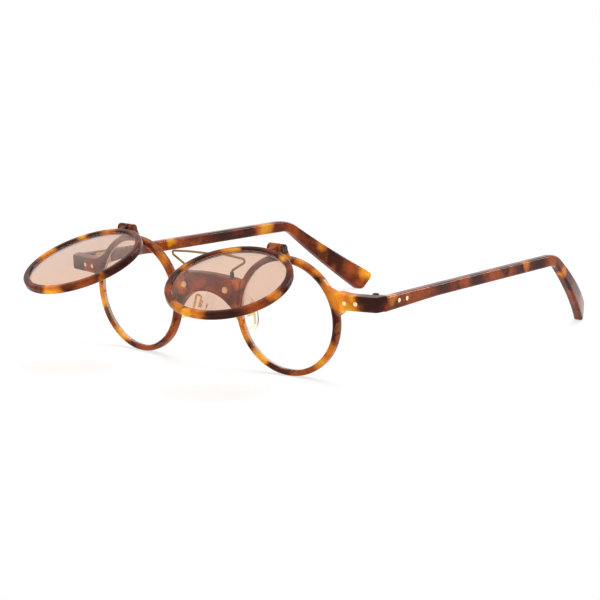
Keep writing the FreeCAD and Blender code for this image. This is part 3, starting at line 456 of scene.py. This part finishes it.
def mix_shader(tree, factor, under, over):
    """Goes from one shader to another by a factor socket."""
    mix = add_node(tree, "ShaderNodeMixShader")
    for index, socket in enumerate((factor, under, over)):
        tree.links.new(socket, mix.inputs[index])
    return mix.outputs[0]


# Finishes


def painted_glow_mask(tree, place, middle):
    """Mask of the painted glow, a painted reflection on the walls: it rises at the inner and the outer walls of a
    rim, and is 0 on its faces and away from it.
    """
    inside, outside = RIM_WALLS
    half = (outside - inside) / 2
    away = vector_step(tree, "DISTANCE", place, {1: middle})
    off = add_node(tree, "ShaderNodeMath", {1: (inside + outside) / 2}, operation="SUBTRACT")
    tree.links.new(away.outputs["Value"], off.inputs[0])
    side = add_node(tree, "ShaderNodeMath", operation="ABSOLUTE")
    tree.links.new(off.outputs[0], side.inputs[0])
    rise = fade(tree, side.outputs[0], *(share * half for share in PAINTED_GLOW_RISE), settings().acetate.painted_glow_share)
    fall = fade(tree, side.outputs[0], *(share * half for share in PAINTED_GLOW_FALL))
    both = add_node(tree, "ShaderNodeMath", operation="MULTIPLY")
    for index, ramp in enumerate((rise, fall)):
        tree.links.new(ramp, both.inputs[index])
    return both.outputs[0]


def wandering(tree, look):
    """The place on the piece, pushed about a little so that edges wander."""
    place = object_place(tree)
    pace, values = DRIFT
    drift = noise(tree, place, pace / look.grain, values)
    centred = vector_step(tree, "SUBTRACT", drift.outputs["Color"], {1: (0.5, 0.5, 0.5)})
    scaled = vector_step(tree, "SCALE", centred.outputs[0], {"Scale": 2 * look.feather})
    wander = vector_step(tree, "ADD", place)
    tree.links.new(scaled.outputs[0], wander.inputs[1])
    return wander.outputs[0]


def clouded(tree, place, look, ground, tints):
    """The colour of the sheet's ground."""
    pace, values = CLOUDS
    clouds = noise(tree, place, pace / look.grain, values)
    ramp = add_node(tree, "ShaderNodeValToRGB")
    stops = ramp.color_ramp.elements
    for index, (position, tint) in enumerate(ground):
        stop = stops[index] if index < 2 else stops.new(position)
        stop.position = position
        stop.color = opaque(tints[tint])
    tree.links.new(clouds.outputs["Fac"], ramp.inputs["Fac"])
    return ramp.outputs["Color"]


def tortoise(name, ground, patches, rims=()):
    """Tortoiseshell acetate: clouded ground, soft patches at given places, a painted glow on the rims' walls that
    stands in for reflection and light through the sheet, and deep polish.
    """
    look = settings().acetate
    tints = {tint: getattr(look, tint) for tint in SHEET_TINTS}
    material, tree, output = new_material(name)
    wandered = wandering(tree, look)
    colour = clouded(tree, wandered, look, ground, tints)
    for tint, middle, radius in patches:
        away = vector_step(tree, "DISTANCE", wandered, {1: Vector(middle) * MM})
        for layer, outer, inner in PATCH_LAYERS[tint]:
            mask = fade(tree, away.outputs["Value"], outer * radius * MM, inner * radius * MM)
            colour = mix_colour(tree, mask, colour, tints[layer])
    # Painted glow: the rims' walls are tinted lighter, as painted reflection and painted light through the sheet.
    for middle in rims:
        colour = mix_colour(tree, painted_glow_mask(tree, wandered, middle), colour, look.painted_wall_glow)

    pace, values = FINE
    fine = noise(tree, wandered, pace / look.grain, values).outputs["Fac"]
    shaded = vector_step(tree, "SCALE", colour)
    tree.links.new(spread(tree, fine, *TINT_SWING), shaded.inputs["Scale"])
    gloss = spread(tree, fine, *(share * look.polish for share in POLISH_SWING))
    sheet = add_node(tree, "ShaderNodeBsdfPrincipled", {
        "IOR": look.index, "Transmission Weight": look.depth})
    tree.links.new(shaded.outputs[0], sheet.inputs["Base Color"])
    tree.links.new(gloss, sheet.inputs["Roughness"])
    tree.links.new(sheet.outputs[0], output.inputs["Surface"])
    return material


def glass(name, tint, index, roughness=0.0):
    """Clear or tinted plastic that lets the lamps through."""
    material, tree, output = new_material(name)
    body = add_node(tree, "ShaderNodeBsdfPrincipled", {
        "Base Color": opaque(tint), "Transmission Weight": 1.0, "IOR": index, "Roughness": roughness})
    open_way = add_node(tree, "ShaderNodeBsdfTransparent", {"Color": opaque(tint)})
    path = add_node(tree, "ShaderNodeLightPath")
    choice = mix_shader(tree, path.outputs["Is Shadow Ray"], body.outputs[0], open_way.outputs[0])
    tree.links.new(choice, output.inputs["Surface"])
    return material


def plated(name):
    """Plated metal whose shine and tint vary a little."""
    look = settings().metal
    tint, roughness, spot, metallic = PLATINGS[name]
    material, tree, output = new_material(name)
    worn = noise(tree, object_place(tree), 1 / spot, WORN_SPOTS).outputs["Fac"]
    shine = spread(tree, worn, roughness * (1 - look.wear), roughness * (1 + DULLING * look.wear))
    even = add_node(tree, "ShaderNodeVectorMath", {0: getattr(look, tint)}, operation="SCALE")
    tree.links.new(spread(tree, worn, 1 - look.wear, 1 + look.wear), even.inputs["Scale"])
    metal = add_node(tree, "ShaderNodeBsdfPrincipled", {"Metallic": metallic})
    tree.links.new(even.outputs[0], metal.inputs["Base Color"])
    tree.links.new(shine, metal.inputs["Roughness"])
    tree.links.new(metal.outputs[0], output.inputs["Surface"])
    return material


# Stage


def seen_directly(tree):
    """1 for rays from the camera, off gloss and through glass, and 0 for others."""
    path = add_node(tree, "ShaderNodeLightPath")
    share = path.outputs["Is Camera Ray"]
    for name in ("Is Glossy Ray", "Is Transmission Ray"):
        either = add_node(tree, "ShaderNodeMath", operation="MAXIMUM")
        tree.links.new(share, either.inputs[0])
        tree.links.new(path.outputs[name], either.inputs[1])
        share = either.outputs[0]
    return share


def closed_foot(tree, place, side):
    """1 on the floor where a closed ring dips below it, and 0 elsewhere."""
    foot = Vector((lens_middle(side).x, *RING_FOOT))
    offset = vector_step(tree, "SUBTRACT", place, {1: foot})
    share = vector_step(tree, "DIVIDE", offset.outputs[0], {1: RING_FOOT_SIZE})
    away = vector_step(tree, "LENGTH", share.outputs[0])
    return fade(tree, away.outputs["Value"], 1.0, RING_FOOT_CLEAR)


def floor_finish(look):
    """White where it is seen, with a faint shadow near the spectacles, and matt for the light that it sends back."""
    material, tree, output = new_material("floor_pale")
    place = object_place(tree)
    far = vector_step(tree, "LENGTH", place)
    near = fade(tree, far.outputs["Value"], look.shadow_reach, SHADOW_FULL * look.shadow_reach, look.shadow)
    matt = add_node(tree, "ShaderNodeBsdfDiffuse", {"Color": opaque(look.floor)}).outputs[0]
    white = add_node(tree, "ShaderNodeEmission").outputs[0]
    clear = add_node(tree, "ShaderNodeBsdfTransparent").outputs[0]
    surface = mix_shader(tree, seen_directly(tree), matt, mix_shader(tree, near, white, matt))
    for side in SIDES:
        surface = mix_shader(tree, closed_foot(tree, place, side), surface, clear)
    tree.links.new(surface, output.inputs["Surface"])
    return material


def add_floor(look):
    """A wide round floor on which the rims and the temples' tips stand."""
    mesh = bpy.data.meshes.new("floor")
    work = bmesh.new()
    bmesh.ops.create_circle(work, cap_ends=True, segments=FLOOR_CORNERS, radius=look.floor_reach)
    bmesh.ops.translate(work, verts=work.verts, vec=(0, 0, -FLOOR_DROP))
    work.to_mesh(mesh)
    work.free()
    mesh.materials.append(floor_finish(look))
    floor = bpy.data.objects.new("floor", mesh)
    bpy.context.scene.collection.objects.link(floor)


def add_surroundings(look):
    """White surroundings that light the spectacles at a plain level."""
    world = bpy.data.worlds.new("studio")
    world.use_nodes = True
    tree = world.node_tree
    background = tree.nodes["Background"]
    strength = spread(tree, seen_directly(tree), look.ambient, 1.0)
    tree.links.new(strength, background.inputs["Strength"])
    background.inputs["Color"].default_value = opaque((1.0, 1.0, 1.0))
    bpy.context.scene.world = world


def add_lamp(name, power, size, place, aim, mirrored):
    """A soft lamp that points at a place. It lights the spectacles, or only shines back from their polish."""
    data = bpy.data.lights.new(name, "AREA")
    data.energy = power
    data.shape = "RECTANGLE"
    data.size, data.size_y = size
    lamp = bpy.data.objects.new(name, data)
    lamp.location = place
    lamp.visible_glossy = mirrored
    lamp.visible_diffuse = not mirrored
    lamp.visible_transmission = False
    lamp.rotation_mode = "QUATERNION"
    lamp.rotation_quaternion = (Vector(aim) - Vector(place)).to_track_quat("-Z", "Y")
    bpy.context.scene.collection.objects.link(lamp)


def add_camera(look):
    """The camera in front, on the wearer's left, a little above the spectacles."""
    data = bpy.data.cameras.new("camera")
    data.sensor_width = SENSOR_WIDTH
    data.lens = look.lens
    data.clip_start, data.clip_end = SIGHT
    camera = bpy.data.objects.new("camera", data)
    right, up = Vector(CAMERA_RIGHT), Vector(CAMERA_UP)
    turn = Matrix((right, up, right.cross(up))).transposed()
    camera.matrix_world = Matrix.Translation(CAMERA_PLACE) @ turn.to_4x4()
    bpy.context.scene.collection.objects.link(camera)
    bpy.context.scene.camera = camera


# Steps


class SPECTACLES_OT_front(bpy.types.Operator):
    """Finish the acetate front with its rims, bridge, end pieces and hinge lugs"""

    bl_idname = "spectacles.front"
    bl_label = "Front"

    def execute(self, context):
        # Middles of the rims, around which the walls get their painted glow.
        rims = [lens_middle(side) for side in SIDES]
        give(tortoise("tortoise_front", FRONT_GROUND, FRONT_PATCHES, rims), "front_frame")
        return {"FINISHED"}


class SPECTACLES_OT_rings(bpy.types.Operator):
    """Finish the two flip-up rings"""

    bl_idname = "spectacles.rings"
    bl_label = "Flip-up rings"

    def execute(self, context):
        for side in SIDES:
            give(tortoise("tortoise_ring_" + side, RING_GROUND, RING_PATCHES[side]), side + "_flip_ring")
        return {"FINISHED"}


class SPECTACLES_OT_temples(bpy.types.Operator):
    """Finish the two temples"""

    bl_idname = "spectacles.temples"
    bl_label = "Temples"

    def execute(self, context):
        for side in SIDES:
            give(tortoise("tortoise_temple_" + side, TEMPLE_GROUND, TEMPLE_PATCHES[side]), side + "_temple")
        return {"FINISHED"}


class SPECTACLES_OT_lenses(bpy.types.Operator):
    """Finish the clear lenses, the sun lenses and the nose pads"""

    bl_idname = "spectacles.lenses"
    bl_label = "Lenses and pads"

    def execute(self, context):
        look = settings().lenses
        clear = glass("clear_lens", look.clear, look.index)
        sun = glass("sun_lens", look.sun, look.sun_index)
        pad = glass("pad_plastic", look.pad, look.pad_index, PAD_ROUGHNESS)
        for side in SIDES:
            smooth_piece(side + "_clear_lens", "front", clear)
            smooth_piece(side + "_sun_lens", side + "_flip", sun)
            smooth_piece(side + "_nose_pad", side + "_pad", pad)
        return {"FINISHED"}


class SPECTACLES_OT_metal(bpy.types.Operator):
    """Finish the rivets, pad arms, brow wire, hinge leaves, screws and sleeves"""

    bl_idname = "spectacles.metal"
    bl_label = "Metal fittings"

    def execute(self, context):
        give(plated("gold"), *pairs("bridge_rivet", "end_rivet_inner", "end_rivet_outer",
                                    "temple_rivet_front", "temple_rivet_rear", "pad_arm"))
        give(plated("dark_gold"), "brow_wire")
        give(plated("hinge_metal"), *pairs("front_hinge_leaf", "temple_hinge_leaf"))
        give(plated("dark_screw"), *pairs("hinge_screw", "flip_screw", "pad_screw", "wire_ferrule"))
        return {"FINISHED"}


class SPECTACLES_OT_stage(bpy.types.Operator):
    """Add the floor, the surroundings, the lamps and the camera"""

    bl_idname = "spectacles.stage"
    bl_label = "Stage"

    def execute(self, context):
        look = settings().stage
        add_floor(look)
        add_surroundings(look)
        for name, power, size, place, aim, mirrored in LAMPS:
            add_lamp(name, getattr(look, power), size, place, aim, mirrored)
        add_camera(look)
        context.scene.view_settings.view_transform = "Standard"
        return {"FINISHED"}


class SPECTACLES_PT_panel(bpy.types.Panel):
    """Lists the steps and the settings of the spectacles"""

    bl_idname = "SPECTACLES_PT_panel"
    bl_label = "Spectacles"
    bl_space_type = "VIEW_3D"
    bl_region_type = "UI"
    bl_category = "Spectacles"

    def draw(self, context):
        for operator in OPERATORS:
            self.layout.operator(operator.bl_idname)
        for group in (settings().acetate, settings().lenses, settings().metal, settings().stage):
            box = self.layout.box()
            for name in group.bl_rna.properties.keys():
                if name not in ("rna_type", "name"):
                    box.prop(group, name)


OPERATORS = (
    SPECTACLES_OT_front,
    SPECTACLES_OT_rings,
    SPECTACLES_OT_temples,
    SPECTACLES_OT_lenses,
    SPECTACLES_OT_metal,
    SPECTACLES_OT_stage,
)
CLASSES = (
    AcetateSettings,
    LensSettings,
    MetalSettings,
    StageSettings,
    SpectaclesSettings,
    *OPERATORS,
    SPECTACLES_PT_panel,
)


def register():
    for cls in CLASSES:
        bpy.utils.register_class(cls)
    bpy.types.Scene.spectacles = PointerProperty(type=SpectaclesSettings)


def unregister():
    del bpy.types.Scene.spectacles
    for cls in reversed(CLASSES):
        bpy.utils.unregister_class(cls)


def main():
    register()
    bpy.ops.spectacles.front()
    bpy.ops.spectacles.rings()
    bpy.ops.spectacles.temples()
    bpy.ops.spectacles.lenses()
    bpy.ops.spectacles.metal()
    bpy.ops.spectacles.stage()


if __name__ == "__main__":
    main()
